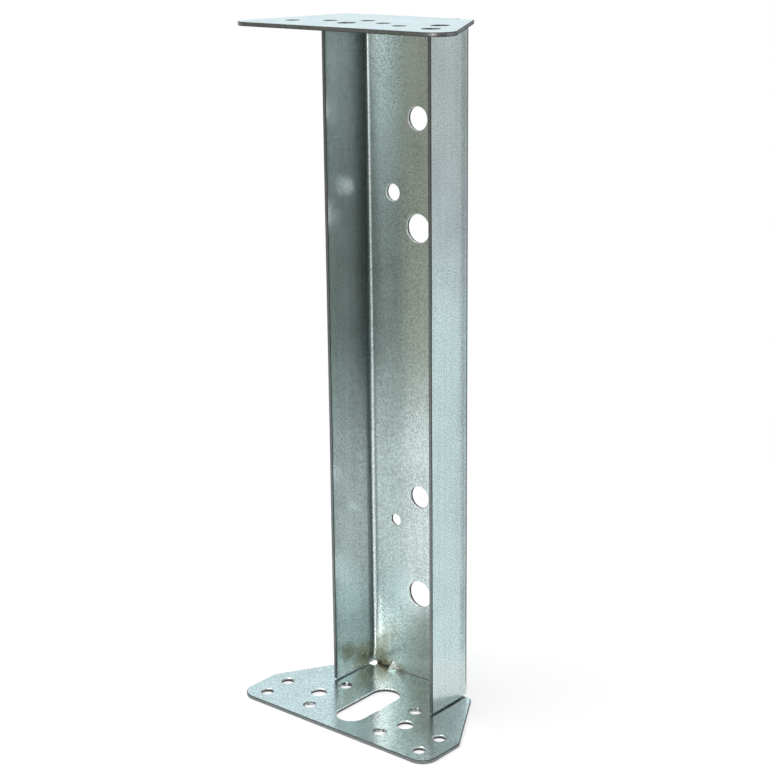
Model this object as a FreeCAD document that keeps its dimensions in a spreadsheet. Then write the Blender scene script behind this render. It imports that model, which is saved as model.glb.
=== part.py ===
import FreeCAD, Part
import Sketcher
import math
import os
import re

# Angle bracket: one steel sheet, cut to a flat blank and folded. A tall channel (a web with a narrow
# flange down each side) stands on a foot plate and carries a head plate. Both plates are folded from the
# ends of the web, at right angles, towards the open front of the channel.
#
# Axes while it is drawn: X across the web from its middle, Y from the web's back face with the open front
# at minus Y, Z up from the underside of the foot. The body's placement then puts the origin at the middle
# of the box round the bracket, on the floor. Lengths are in millimetres.

V = FreeCAD.Vector
doc = FreeCAD.newDocument("angle_bracket")
sheet = doc.addObject("Spreadsheet::Sheet", "Sizes")

SIZES = [
    # the sheet and its bends
    ("sheet_thickness", 1.5, "steel sheet"),
    ("bend_radius", 2.0, "inside radius of the two upright bends between web and flanges"),
    ("fold_radius", 1.0, "inside radius of the folds at foot and head"),
    # the channel
    ("total_height", 265.0, "underside of the foot to the top of the head"),
    ("channel_width", 51.0, "over the outer faces of the flanges"),
    ("flange_depth", 24.0, "web's back face to the flanges' free edges"),
    ("flange_gap", 0.5, "slit between a flange's end and the plate beside it"),
    ("relief_diameter", 3.5, "round relief punched where bend and fold would meet"),
    ("relief_inset", 2.8, "flange's outer face to a relief's centre"),
    ("slit_margin", 0.2, "start of an upright bend to the end of the slit beside the fold"),
    ("relief_depth", 4.0, "web's back face to a relief's end in the plate"),
    # both plates
    ("plate_reach", 56.0, "web's back face to the plates' front edges"),
    ("neck_setback", 3.2, "web's back face to the plates' back edges beside the channel"),
    ("neck_corner", 2.0, "radius of the plates' back corners"),
    # foot plate
    ("foot_width", 95.0, "over the straight sides"),
    ("foot_overhang", 3.0, "flange's outer face to the back corners, where the slanted edges start"),
    ("foot_side", 20.5, "front edge to the corners between straight sides and slanted edges"),
    ("foot_corner", 6.5, "radius of the front corners"),
    ("shoulder_corner", 2.5, "radius of the corners between slanted edges and straight sides"),
    # head plate, wider on the right than on the left
    ("head_left_overhang", 5.5, "flange's outer face to the left back corner"),
    ("head_left_front", 42.0, "middle to the left front corner before it is rounded"),
    ("head_right_overhang", 3.2, "flange's outer face to the right back corner"),
    ("head_right_front", 60.0, "middle to the right front corner before it is rounded"),
    ("head_corner", 7.0, "radius of the front corners"),
    # holes that repeat
    ("nail_hole", 5.0, "diameter of the nail holes"),
    ("screw_hole", 6.5, "diameter of the screw holes"),
    ("dowel_hole", 9.0, "diameter of the smaller holes in the web's middle row"),
    ("bolt_hole", 11.0, "diameter of the larger holes in the web's middle row"),
    # places of the foot's holes
    ("foot_outer_edge", 8.5, "side edge to the outer nail holes"),
    ("foot_outer_front", 7.0, "front edge to the front pair of the outer nail holes"),
    ("foot_outer_pitch", 12.0, "front pair to back pair of the outer nail holes"),
    ("foot_inner_across", 18.0, "middle to the inner nail holes"),
    ("foot_inner_front", 9.0, "front edge to the front pair of the inner nail holes"),
    ("foot_inner_pitch", 21.5, "front pair to back pair of the inner nail holes"),
    ("foot_screw_across", 22.3, "middle to the screw holes"),
    ("foot_screw_front", 19.3, "front edge to the screw holes"),
    ("slot_width", 12.4, "adjusting slot in the middle of the foot"),
    ("slot_length", 32.4, "over its half-round ends"),
    ("slot_front", 7.4, "front edge to the slot"),
    # places of the head's holes
    ("head_tip_front", 28.5, "front edge to the nail hole at the point of the two slanted rows"),
    ("head_step_across", 12.3, "step of the slanted rows, across"),
    ("head_step_forward", 6.2, "step of the slanted rows, forward"),
    ("head_middle_front", 17.0, "front edge to the screw hole on the middle"),
    ("head_rear_across", 34.8, "middle to the rear screw hole on the wide side"),
    ("head_rear_front", 25.5, "front edge to the rear screw hole on the wide side"),
    ("head_fore_across", 41.2, "middle to the fore screw hole on the wide side"),
    ("head_fore_front", 12.4, "front edge to the fore screw hole on the wide side"),
    # places of the web's holes
    ("row_across", 1.2, "middle to the row, which sits a little to the right"),
    ("row_bolt_up", 38.2, "lower bolt hole"),
    ("row_dowel_up", 79.4, "lower dowel hole"),
    ("row_pitch", 148.5, "lower hole of a size to the upper one"),
    ("web_nail_across", 12.2, "row to the nail and screw holes beside it"),
    ("web_nail_up", 67.1, "lower pair, nail holes"),
    ("web_screw_up", 199.2, "upper pair, screw holes"),
    # pressed darts that stiffen the folds
    ("dart_across", 13.2, "middle to a dart's ridge"),
    ("dart_half_width", 4.0, "ridge to either end of a dart along the fold"),
    ("dart_leg", 4.4, "how far a dart's ridge runs up the web and out along the plate"),
    ("dart_end", 0.12, "size of the small facet in which a dart dies out"),
    ("dimple_skin", 0.01, "how far a dart's dimple starts outside the sheet"),
    # cutting outlines
    ("cut_margin", 1.0, "how far a cutting outline runs past the metal"),
]
for row, (alias, value, words) in enumerate(SIZES, 1):
    sheet.set(f"A{row}", alias.replace("_", " "))
    sheet.set(f"B{row}", str(value))
    sheet.set(f"C{row}", words)
    sheet.setAlias(f"B{row}", alias)
doc.recompute()

body = doc.addObject("PartDesign::Body", "angle_bracket")
body.Label = "angle_bracket"
planes = {feature.Role: feature for feature in body.Origin.OriginFeatures}
ALIAS = re.compile(r"\b(" + "|".join(alias for alias, value, words in SIZES) + r")\b")
NEAR = 0.01  # two places closer than this are the same


def bound(expression):
    """The expression as an object of the document writes it, with the sheet's name before each alias."""
    return ALIAS.sub(r"Sizes.\1", expression)


def size(expression):
    """Value of an expression in the sheet's aliases."""
    answer = sheet.evalExpression(bound(expression))
    return float(getattr(answer, "Value", answer))


def new_sketch(name, role, height=None):
    """Sketch on one of the body's own planes, moved along that plane's normal by height."""
    sketch = body.newObject("Sketcher::SketchObject", name)
    sketch.AttachmentSupport = [(planes[role], "")]
    sketch.MapMode = "FlatFace"
    if height is not None:
        sketch.setExpression("AttachmentOffset.Base.z", bound(height))
    return sketch


def place_point(sketch, geometry, end, across, up):
    """Holds a point of the sketch at two expressions measured from the sketch's origin."""
    for kind, axis, expression in (("DistanceX", -2, across), ("DistanceY", -1, up)):
        value = size(expression)
        if abs(value) < 1e-9:
            sketch.addConstraint(Sketcher.Constraint("PointOnObject", geometry, end, axis))
            continue
        if value > 0:
            index = sketch.addConstraint(Sketcher.Constraint(kind, -1, 1, geometry, end, value))
            sketch.setExpression(f"Constraints[{index}]", bound(expression))
        else:
            index = sketch.addConstraint(Sketcher.Constraint(kind, geometry, end, -1, 1, -value))
            sketch.setExpression(f"Constraints[{index}]", bound(f"-({expression})"))


def add_outline(sketch, corners):
    """Closed outline of straight edges through corners given as pairs of expressions."""
    points = [V(size(across), size(up), 0) for across, up in corners]
    first = sketch.GeometryCount
    count = len(points)
    for i in range(count):
        sketch.addGeometry(Part.LineSegment(points[i], points[(i + 1) % count]))
    for i in range(count):
        following = first + (i + 1) % count
        sketch.addConstraint(Sketcher.Constraint("Coincident", first + i, 2, following, 1))
    for i, (across, up) in enumerate(corners):
        place_point(sketch, first + i, 1, across, up)


def add_circle(sketch, across, up, diameter):
    """Circle held by its centre and diameter."""
    centre = V(size(across), size(up), 0)
    index = sketch.addGeometry(Part.Circle(centre, V(0, 0, 1), size(diameter) / 2))
    place_point(sketch, index, 3, across, up)
    number = sketch.addConstraint(Sketcher.Constraint("Diameter", index, size(diameter)))
    sketch.setExpression(f"Constraints[{number}]", bound(diameter))


def add_obround(sketch, across, front, back, width):
    """Slot with half-round ends, along the sketch's upright axis."""
    low = f"{front} + {width} / 2"
    high = f"{back} - {width} / 2"
    radius = size(width) / 2
    start = V(size(across), size(low), 0)
    stop = V(size(across), size(high), 0)
    aside = V(radius, 0, 0)
    up = V(0, 0, 1)
    front_end = sketch.addGeometry(Part.ArcOfCircle(Part.Circle(start, up, radius), math.pi, 2 * math.pi))
    right = sketch.addGeometry(Part.LineSegment(start + aside, stop + aside))
    back_end = sketch.addGeometry(Part.ArcOfCircle(Part.Circle(stop, up, radius), 0, math.pi))
    left = sketch.addGeometry(Part.LineSegment(stop - aside, start - aside))
    for one, other in ((front_end, right), (right, back_end), (back_end, left), (left, front_end)):
        sketch.addConstraint(Sketcher.Constraint("Tangent", one, 2, other, 1))
    sketch.addConstraint(Sketcher.Constraint("Equal", front_end, back_end))
    place_point(sketch, front_end, 3, across, low)
    place_point(sketch, back_end, 3, across, high)
    number = sketch.addConstraint(Sketcher.Constraint("Diameter", front_end, size(width)))
    sketch.setExpression(f"Constraints[{number}]", bound(width))


def finish(feature, grows):
    """Recomputes and makes sure that the feature added or removed metal."""
    body.Tip = feature
    doc.recompute()
    before = feature.BaseFeature.Shape.Volume if feature.BaseFeature else 0.0
    change = feature.Shape.Volume - before
    if (change > 0) is not grows:
        raise RuntimeError(f"{feature.Name} changed the volume by {change:.3f}")
    return feature


def pad(name, sketch, length, midplane=False):
    feature = body.newObject("PartDesign::Pad", name)
    feature.Profile = sketch
    feature.setExpression("Length", bound(length))
    if midplane:
        feature.SideType = "Symmetric"
    return finish(feature, True)


def pocket(name, sketch, length, reverse=False):
    feature = body.newObject("PartDesign::Pocket", name)
    feature.Profile = sketch
    feature.setExpression("Length", bound(length))
    feature.Reversed = reverse
    return finish(feature, False)


def edges_where(feature, test):
    """Names of the straight edges whose middle and direction pass the test."""
    names = []
    for i, edge in enumerate(feature.Shape.Edges, 1):
        if edge.Curve.TypeId != "Part::GeomLine":
            continue
        direction = (edge.Vertexes[-1].Point - edge.Vertexes[0].Point).normalize()
        if test(edge.CenterOfMass, direction):
            names.append(f"Edge{i}")
    return names


def fillet(name, radius, test, count):
    """Rounds the edges that pass the test; their number is known from the drawing."""
    base = body.Tip
    names = edges_where(base, test)
    if len(names) != count:
        raise RuntimeError(f"{name} found {len(names)} edges, not {count}")
    feature = body.newObject("PartDesign::Fillet", name)
    feature.Base = (base, names)
    feature.setExpression("Radius", bound(radius))
    body.Tip = feature
    doc.recompute()
    return feature


def near(value, expression):
    return abs(value - size(expression)) < NEAR


# Places that several features share
RELIEF_ACROSS = "(channel_width / 2 - relief_inset)"
SLIT_END = "(channel_width / 2 - bend_radius - sheet_thickness - slit_margin)"
FOOT_NECK_HALF = "(channel_width / 2 + foot_overhang)"
HEAD_LEFT_BACK = "(channel_width / 2 + head_left_overhang)"
HEAD_RIGHT_BACK = "(channel_width / 2 + head_right_overhang)"
SHOULDER = "-(plate_reach - foot_side)"

# The folded strip: foot, web and head in one section, as wide as the widest plate
BLANK_HALF = "max(foot_width / 2; head_right_front; head_left_front) + cut_margin"
strip = new_sketch("strip_section", "YZ_Plane")
add_outline(strip, [
    ("-plate_reach", "0"),
    ("0", "0"),
    ("0", "total_height"),
    ("-plate_reach", "total_height"),
    ("-plate_reach", "total_height - sheet_thickness"),
    ("-sheet_thickness", "total_height - sheet_thickness"),
    ("-sheet_thickness", "sheet_thickness"),
    ("-plate_reach", "sheet_thickness"),
])
pad("folded_strip", strip, f"2 * ({BLANK_HALF})", midplane=True)


def outer_fold(middle, direction):
    ends = near(middle.z, "0") or near(middle.z, "total_height")
    return abs(direction.x) > 0.99 and near(middle.y, "0") and ends


def inner_fold(middle, direction):
    ends = near(middle.z, "sheet_thickness") or near(middle.z, "total_height - sheet_thickness")
    return abs(direction.x) > 0.99 and near(middle.y, "-sheet_thickness") and ends


fillet("fold_outside", "fold_radius + sheet_thickness", outer_fold, 2)
fillet("fold_inside", "fold_radius", inner_fold, 2)

# The web is narrower than the plates: slits beside the folds part it from the plates' wings
sides = new_sketch("web_sides", "XZ_Plane")
for sign in ("", "-"):
    add_outline(sides, [
        (f"{sign}{SLIT_END}", "-cut_margin"),
        (f"{sign}({BLANK_HALF} + cut_margin)", "-cut_margin"),
        (f"{sign}({BLANK_HALF} + cut_margin)", "total_height + cut_margin"),
        (f"{sign}{SLIT_END}", "total_height + cut_margin"),
    ])
pocket("web_trim", sides, "neck_setback", reverse=True)

# Plan of the foot: straight sides at the front, slanted edges back to the neck beside the channel
foot_plan = new_sketch("foot_plan", "XY_Plane")
FRAME = [
    (f"-({BLANK_HALF} + cut_margin)", "-plate_reach - cut_margin"),
    (f"{BLANK_HALF} + cut_margin", "-plate_reach - cut_margin"),
    (f"{BLANK_HALF} + cut_margin", "cut_margin"),
    (f"-({BLANK_HALF} + cut_margin)", "cut_margin"),
]
add_outline(foot_plan, FRAME)
add_outline(foot_plan, [
    ("-foot_width / 2", "-plate_reach"),
    ("foot_width / 2", "-plate_reach"),
    ("foot_width / 2", SHOULDER),
    (FOOT_NECK_HALF, "-neck_setback"),
    (FOOT_NECK_HALF, "cut_margin / 2"),
    (f"-{FOOT_NECK_HALF}", "cut_margin / 2"),
    (f"-{FOOT_NECK_HALF}", "-neck_setback"),
    ("-foot_width / 2", SHOULDER),
])
pocket("foot_trim", foot_plan, "total_height / 3", reverse=True)

# Plan of the head: a gentle slant on the left and a steep one on the right
head_plan = new_sketch("head_plan", "XY_Plane", "total_height")
add_outline(head_plan, FRAME)
add_outline(head_plan, [
    ("-head_left_front", "-plate_reach"),
    ("head_right_front", "-plate_reach"),
    (HEAD_RIGHT_BACK, "-neck_setback"),
    (HEAD_RIGHT_BACK, "cut_margin / 2"),
    (f"-{HEAD_LEFT_BACK}", "cut_margin / 2"),
    (f"-{HEAD_LEFT_BACK}", "-neck_setback"),
])
pocket("head_trim", head_plan, "total_height / 3")


def upright(middle, direction, across, forward, level):
    straight = abs(direction.z) > 0.99
    return straight and near(middle.x, across) and near(middle.y, forward) and near(middle.z, level)


def corner_test(places, level):
    def test(middle, direction):
        return any(upright(middle, direction, across, forward, level) for across, forward in places)
    return test


FOOT_LEVEL = "sheet_thickness / 2"
HEAD_LEVEL = "total_height - sheet_thickness / 2"
fillet("foot_corners", "foot_corner", corner_test([
    ("foot_width / 2", "-plate_reach"), ("-foot_width / 2", "-plate_reach")], FOOT_LEVEL), 2)
fillet("foot_shoulders", "shoulder_corner", corner_test([
    ("foot_width / 2", SHOULDER), ("-foot_width / 2", SHOULDER)], FOOT_LEVEL), 2)
fillet("head_corners", "head_corner", corner_test([
    ("head_right_front", "-plate_reach"), ("-head_left_front", "-plate_reach")], HEAD_LEVEL), 2)


FOOT_NECK = [(FOOT_NECK_HALF, "-neck_setback"), (f"-{FOOT_NECK_HALF}", "-neck_setback")]
HEAD_NECK = [(HEAD_RIGHT_BACK, "-neck_setback"), (f"-{HEAD_LEFT_BACK}", "-neck_setback")]


def neck_test(middle, direction):
    foot = corner_test(FOOT_NECK, FOOT_LEVEL)
    head = corner_test(HEAD_NECK, HEAD_LEVEL)
    return foot(middle, direction) or head(middle, direction)


fillet("neck_corners", "neck_corner", neck_test, 4)

# The channel's section: web, two upright bends and two flanges that stop just short of the plates
channel = new_sketch("channel_section", "XY_Plane", "sheet_thickness + flange_gap")
add_outline(channel, [
    ("-channel_width / 2", "-flange_depth"),
    ("-channel_width / 2", "0"),
    ("channel_width / 2", "0"),
    ("channel_width / 2", "-flange_depth"),
    ("channel_width / 2 - sheet_thickness", "-flange_depth"),
    ("channel_width / 2 - sheet_thickness", "-sheet_thickness"),
    ("-(channel_width / 2 - sheet_thickness)", "-sheet_thickness"),
    ("-(channel_width / 2 - sheet_thickness)", "-flange_depth"),
])
pad("channel_sides", channel, "total_height - 2 * sheet_thickness - 2 * flange_gap")


def outer_bend(middle, direction):
    return abs(direction.z) > 0.99 and near(abs(middle.x), "channel_width / 2") and near(middle.y, "0")


def inner_bend(middle, direction):
    inside = near(abs(middle.x), "channel_width / 2 - sheet_thickness")
    return abs(direction.z) > 0.99 and inside and near(middle.y, "-sheet_thickness")


fillet("bend_outside", "bend_radius + sheet_thickness", outer_bend, 2)
fillet("bend_inside", "bend_radius", inner_bend, 2)

# Round reliefs at the four corners where an upright bend would run into a fold
relief = new_sketch("corner_reliefs", "XZ_Plane")
for sign in ("", "-"):
    for level in (FOOT_LEVEL, HEAD_LEVEL):
        add_circle(relief, f"{sign}{RELIEF_ACROSS}", level, "relief_diameter")
pocket("reliefs", relief, "relief_depth", reverse=True)


def dart_section(name, across, leg, level, outside):
    """Three-cornered section of a dart: its long side is the ridge between web and plate.

    The metal inside the fold starts from the middle of the sheet, and the dimple outside it from past
    the outer faces, so that neither shares a face with the sheet."""
    sketch = new_sketch(name, "YZ_Plane", across)
    if outside:
        start = "-dimple_skin"
        end = f"{leg} + dimple_skin"
    else:
        start = "sheet_thickness / 2"
        end = f"sheet_thickness / 2 + {leg}"
    if level == "foot":
        low, high = start, end
    else:
        low, high = f"total_height - ({start})", f"total_height - ({end})"
    add_outline(sketch, [
        (f"-({start})", low),
        (f"-({start})", high),
        (f"-({end})", low),
    ])
    return sketch


def dart(name, sign, level, outside):
    """A dart grows from nothing to its full leg at the ridge and dies out again."""
    if outside:
        full = "dart_leg - sheet_thickness * (sqrt(2) - 1)"
        half = "dart_half_width - sheet_thickness / 2"
    else:
        full = "dart_leg + sheet_thickness / 2"
        half = "dart_half_width"
    sections = []
    for place, leg in ((f"-({half})", "dart_end"), ("0", full), (half, "dart_end")):
        across = f"{sign}dart_across + {place}"
        sections.append(dart_section(f"{name}_{len(sections)}", across, leg, level, outside))
    kind = "PartDesign::SubtractiveLoft" if outside else "PartDesign::AdditiveLoft"
    feature = body.newObject(kind, name)
    feature.Profile = sections[0]
    feature.Sections = sections[1:]
    feature.Ruled = True
    return finish(feature, not outside)


# Pressed darts across both folds, two at the foot and two at the head
for level in ("foot", "head"):
    for side, sign in (("right", ""), ("left", "-")):
        dart(f"{level}_{side}_dart", sign, level, False)
        dart(f"{level}_{side}_dimple", sign, level, True)

# Holes in the foot: nail holes, screw holes and the adjusting slot
foot_holes = new_sketch("foot_holes", "XY_Plane")
for sign in ("", "-"):
    outer = f"{sign}(foot_width / 2 - foot_outer_edge)"
    add_circle(foot_holes, outer, "-(plate_reach - foot_outer_front)", "nail_hole")
    add_circle(foot_holes, outer, "-(plate_reach - foot_outer_front - foot_outer_pitch)", "nail_hole")
    inner = f"{sign}foot_inner_across"
    add_circle(foot_holes, inner, "-(plate_reach - foot_inner_front)", "nail_hole")
    add_circle(foot_holes, inner, "-(plate_reach - foot_inner_front - foot_inner_pitch)", "nail_hole")
    add_circle(foot_holes, f"{sign}foot_screw_across", "-(plate_reach - foot_screw_front)", "screw_hole")
pocket("foot_punched", foot_holes, "sheet_thickness", reverse=True)

slot = new_sketch("foot_slot", "XY_Plane")
SLOT_FRONT = "-(plate_reach - slot_front)"
add_obround(slot, "0", SLOT_FRONT, f"{SLOT_FRONT} + slot_length", "slot_width")
pocket("slot_punched", slot, "sheet_thickness", reverse=True)

# Holes in the head: two slanted rows of nail holes that meet on the middle, and three screw holes
head_holes = new_sketch("head_holes", "XY_Plane", "total_height")
add_circle(head_holes, "0", "-(plate_reach - head_tip_front)", "nail_hole")
for sign in ("", "-"):
    for step in ("1", "2"):
        forward = f"-(plate_reach - head_tip_front + {step} * head_step_forward)"
        add_circle(head_holes, f"{sign}{step} * head_step_across", forward, "nail_hole")
add_circle(head_holes, "0", "-(plate_reach - head_middle_front)", "screw_hole")
add_circle(head_holes, "head_rear_across", "-(plate_reach - head_rear_front)", "screw_hole")
add_circle(head_holes, "head_fore_across", "-(plate_reach - head_fore_front)", "screw_hole")
pocket("head_punched", head_holes, "sheet_thickness")

# Holes in the web: a row of dowel and bolt holes, with a smaller pair beside it low down and high up
web_holes = new_sketch("web_holes", "XZ_Plane")
add_circle(web_holes, "row_across", "row_bolt_up", "bolt_hole")
add_circle(web_holes, "row_across", "row_bolt_up + row_pitch", "bolt_hole")
add_circle(web_holes, "row_across", "row_dowel_up", "dowel_hole")
add_circle(web_holes, "row_across", "row_dowel_up + row_pitch", "dowel_hole")
for sign in ("+", "-"):
    add_circle(web_holes, f"row_across {sign} web_nail_across", "web_nail_up", "nail_hole")
    add_circle(web_holes, f"row_across {sign} web_nail_across", "web_screw_up", "screw_hole")
pocket("web_punched", web_holes, "sheet_thickness", reverse=True)

# The widest point of the head's right corner: the corner's arc touches the front edge and the slanted edge
SLANT = f"((head_right_front - {HEAD_RIGHT_BACK}) / (plate_reach - neck_setback))"
ARC_X = (f"{HEAD_RIGHT_BACK} + {SLANT} * (plate_reach - head_corner - neck_setback)"
         f" - head_corner * sqrt(1 + {SLANT}^2)")
RIGHT = f"max(foot_width / 2; {ARC_X} + head_corner)"
LEFT = "foot_width / 2"
body.setExpression("Placement.Base.x", bound(f"-(({RIGHT}) - ({LEFT})) / 2"))
body.setExpression("Placement.Base.y", bound("plate_reach / 2"))
doc.recompute()

for item in doc.Objects:
    if "Invalid" in item.State or "Error" in item.State:
        raise RuntimeError(f"{item.Name} failed: {item.State}")
shape = body.Shape
if shape.isNull() or not shape.isValid() or len(shape.Solids) != 1:
    raise RuntimeError("the bracket is not one valid solid")

os.makedirs("parts", exist_ok=True)
shape.exportStep(f"parts/{body.Label}.step")
box = shape.BoundBox
print(f"angle_bracket: {box.XLength:.2f} x {box.YLength:.2f} x {box.ZLength:.2f} mm")
print(f"x from {box.XMin:.3f} to {box.XMax:.3f}, y from {box.YMin:.3f} to {box.YMax:.3f}")
print(f"volume {shape.Volume:.1f} mm3")
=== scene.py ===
# %% [markdown]
# # A folded angle bracket in galvanised sheet
#
# The bracket is one sheet of zinc coated steel. It was punched flat, then folded into a tall
# channel with a foot and a head. This lesson dresses the solid model of it: a working copy of the
# mesh with softened edges, the small unevenness that folding leaves, a zinc finish, and a plain
# studio round it. All lengths are metres, and up is +Z.

# %% Load the solid model
import math

import bmesh
import bpy
from mathutils import Matrix, Vector
from mathutils.bvhtree import BVHTree


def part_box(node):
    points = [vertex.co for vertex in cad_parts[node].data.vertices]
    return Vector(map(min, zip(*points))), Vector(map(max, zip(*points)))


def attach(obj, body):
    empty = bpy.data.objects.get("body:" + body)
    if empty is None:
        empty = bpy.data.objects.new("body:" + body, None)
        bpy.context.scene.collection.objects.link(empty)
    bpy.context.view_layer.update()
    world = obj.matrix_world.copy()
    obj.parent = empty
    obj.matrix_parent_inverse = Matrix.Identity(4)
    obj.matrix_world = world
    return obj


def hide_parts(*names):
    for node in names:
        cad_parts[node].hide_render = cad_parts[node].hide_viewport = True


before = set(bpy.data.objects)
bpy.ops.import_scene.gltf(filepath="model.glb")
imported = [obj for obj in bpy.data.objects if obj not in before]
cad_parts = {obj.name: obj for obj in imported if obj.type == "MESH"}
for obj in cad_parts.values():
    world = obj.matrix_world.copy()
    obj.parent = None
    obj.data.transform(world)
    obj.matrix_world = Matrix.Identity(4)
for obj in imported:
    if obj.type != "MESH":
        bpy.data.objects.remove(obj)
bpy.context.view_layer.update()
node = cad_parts["angle_bracket"]

# %% [markdown]
# ## The camera
#
# The picture was taken from the front right, a little above the head, with a long lens. A camera
# can be aimed with a constraint, but here its three axes were measured, so they go straight into
# its matrix: azimuth and elevation give the direction from the bracket to the camera, and the
# small roll tips the picture by about half a degree.

# %% Camera
AZIMUTH, ELEVATION, ROLL = (math.radians(d) for d in (40.07, 16.23, -0.58))
CAMERA_PLACE = Vector((0.3992, -0.4694, 0.3101))
FOCAL_PIXELS, PICTURE_PIXELS = 1720.1, 776
SENSOR_WIDTH, CLIP_START = 36, 0.01

back = Vector((math.sin(AZIMUTH) * math.cos(ELEVATION),
               -math.cos(AZIMUTH) * math.cos(ELEVATION), math.sin(ELEVATION)))
level = Vector((math.cos(AZIMUTH), math.sin(AZIMUTH), 0))
upright = back.cross(level)
right = math.cos(ROLL) * level + math.sin(ROLL) * upright
up = -math.sin(ROLL) * level + math.cos(ROLL) * upright

camera_data = bpy.data.cameras.new("camera")
camera_data.sensor_width = SENSOR_WIDTH
camera_data.lens = SENSOR_WIDTH * FOCAL_PIXELS / PICTURE_PIXELS
camera_data.clip_start = CLIP_START
camera = bpy.data.objects.new("camera", camera_data)
bpy.context.scene.collection.objects.link(camera)
camera.matrix_world = Matrix((right, up, back)).transposed().to_4x4()
camera.location = CAMERA_PLACE
bpy.context.scene.camera = camera
print("lens", round(camera_data.lens, 2), "mm")

# %% [markdown]
# ## A working copy of the sheet
#
# The solid model comes as loose triangles, which can't be bevelled. A copy is merged first. Then
# each face is asked how thick the metal is behind it: a ray goes inwards from the face, and where
# it meets the other skin within about two millimetres the face is skin, otherwise it is cut metal.
# Cut faces that hang together in a small ring are the wall of a punched hole, and the long ring is
# the sheared outline. Each kind gets its own finish, so the answer goes into the material index.

# %% Merge the copy and tell skin from sheared edge
SHEET = 0.0015
SKIN_LIMIT = 1.4 * SHEET
MERGE_DISTANCE, RAY_START = 1e-6, 1e-5
SKIN, EDGE, WALL, RIM = range(4)

bm = bmesh.new()
bm.from_mesh(node.data)
bmesh.ops.remove_doubles(bm, verts=bm.verts, dist=MERGE_DISTANCE)
bm.normal_update()
inside = BVHTree.FromBMesh(bm)
for face in bm.faces:
    start = face.calc_center_median() - face.normal * RAY_START
    hit = inside.ray_cast(start, -face.normal)
    face.material_index = SKIN if hit[3] is not None and hit[3] < SKIN_LIMIT else EDGE
    face.smooth = True
cut_faces = [face for face in bm.faces if face.material_index == EDGE]
print("triangles", len(bm.faces), "of which cut metal", len(cut_faces))

# %% Tell the walls of holes from the outline
HOLE_SPAN = 0.036


def rings(faces):
    """Groups of faces that touch along an edge."""
    left, found = set(faces), []
    while left:
        ring, stack = [], [left.pop()]
        while stack:
            face = stack.pop()
            ring.append(face)
            near = {f for edge in face.edges for f in edge.link_faces} & left
            left -= near
            stack += near
        found.append(ring)
    return found


holes = 0
for ring in rings(cut_faces):
    places = [v.co for f in ring for v in f.verts]
    span = max(max(p[i] for p in places) - min(p[i] for p in places) for i in range(3))
    if span < HOLE_SPAN:
        holes += 1
        for face in ring:
            face.material_index = WALL
print("rings that are holes", holes)

# %% [markdown]
# ## Softened edges
#
# A shear never leaves a perfect corner: the edge it enters by is rolled over a little, and the
# zinc is rubbed off there, so a thin dark line runs round every hole and along every edge. Flat
# areas are joined into single faces, then every corner of the sheet gets a bevel of a quarter of a
# millimetre. Round a hole it belongs to the wall, elsewhere it has a finish of its own. Only the
# ridges of the pressed darts, which were not cut, keep the finish of the skin.

# %% Bevel the corners
EDGE_ROLL = 0.00025
MID_X = -0.003606
BACK_Y = 0.028
DART_START, DART_END, DART_REACH = 0.0085, 0.018, 0.009
FLAT_ANGLE, CORNER_ANGLE = math.radians(0.3), math.radians(40)
SHORTEST_CORNER = 0.0002

low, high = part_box("angle_bracket")


def on_dart(point):
    """True round the pressed darts of the foot and the head."""
    depth, from_end = BACK_Y - point.y, min(point.z, high.z - point.z)
    return DART_START < abs(point.x - MID_X) < DART_END and max(depth, from_end) < DART_REACH


def beside_wall(face):
    """True for a face that borders on the wall of a hole."""
    return any(f.material_index == WALL for edge in face.edges for f in edge.link_faces)


bmesh.ops.dissolve_limit(bm, angle_limit=FLAT_ANGLE, verts=bm.verts[:],
                         edges=bm.edges[:], delimit={"MATERIAL"})
corners = [e for e in bm.edges if len(e.link_faces) == 2
           and e.calc_face_angle(0) > CORNER_ANGLE and e.calc_length() > SHORTEST_CORNER]
rolled = bmesh.ops.bevel(bm, geom=corners, offset=EDGE_ROLL, offset_type="OFFSET", segments=2,
                         profile=0.5, affect="EDGES", clamp_overlap=False, material=0)["faces"]
for face in rolled:
    face.material_index = SKIN if on_dart(face.calc_center_median()) else RIM
# The bevel is two faces wide, so the wall's finish spreads over it in two steps.
for _ in range(2):
    for face in [f for f in rolled if beside_wall(f)]:
        face.material_index = WALL
bmesh.ops.remove_doubles(bm, verts=bm.verts, dist=MERGE_DISTANCE)
print("corners", len(corners), "faces after the bevel", len(bm.faces))

# %% [markdown]
# ## A grid to shape
#
# Large flat faces can't show that a sheet is slightly uneven, so planes cut them into cells of a
# few millimetres, and closer together beside the upright bends. Cutting keeps the holes exactly as
# they are, which a remesh would not.

# %% Cut the sheet into cells
CELL, CELL_START = 0.004, 0.37
BEND_CUTS = (0.0042, 0.0050, 0.0065)
CUT_MARGIN = 1e-7


def cut_across(bm, axis, places):
    """Cuts every face where one coordinate has these values."""
    normal = Vector([float(i == axis) for i in range(3)])
    for place in places:
        bmesh.ops.bisect_plane(bm, geom=bm.verts[:] + bm.edges[:] + bm.faces[:], dist=CUT_MARGIN,
                               plane_co=normal * place, plane_no=normal)


for axis in range(3):
    count = int((high[axis] - low[axis]) / CELL)
    cut_across(bm, axis, [low[axis] + (i + CELL_START) * CELL for i in range(count)])
cut_across(bm, 1, [BACK_Y - depth for depth in BEND_CUTS])
print("cells", len(bm.faces))

# %% [markdown]
# ## Which way each part of the sheet can give
#
# The web gives forwards and back, the flanges sideways. Near the bends, the folds and the ends
# nothing gives, because they are stiff. The direction, with its share as its length, will be
# stored on each point, where the node tree that shapes the sheet can read it.

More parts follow.
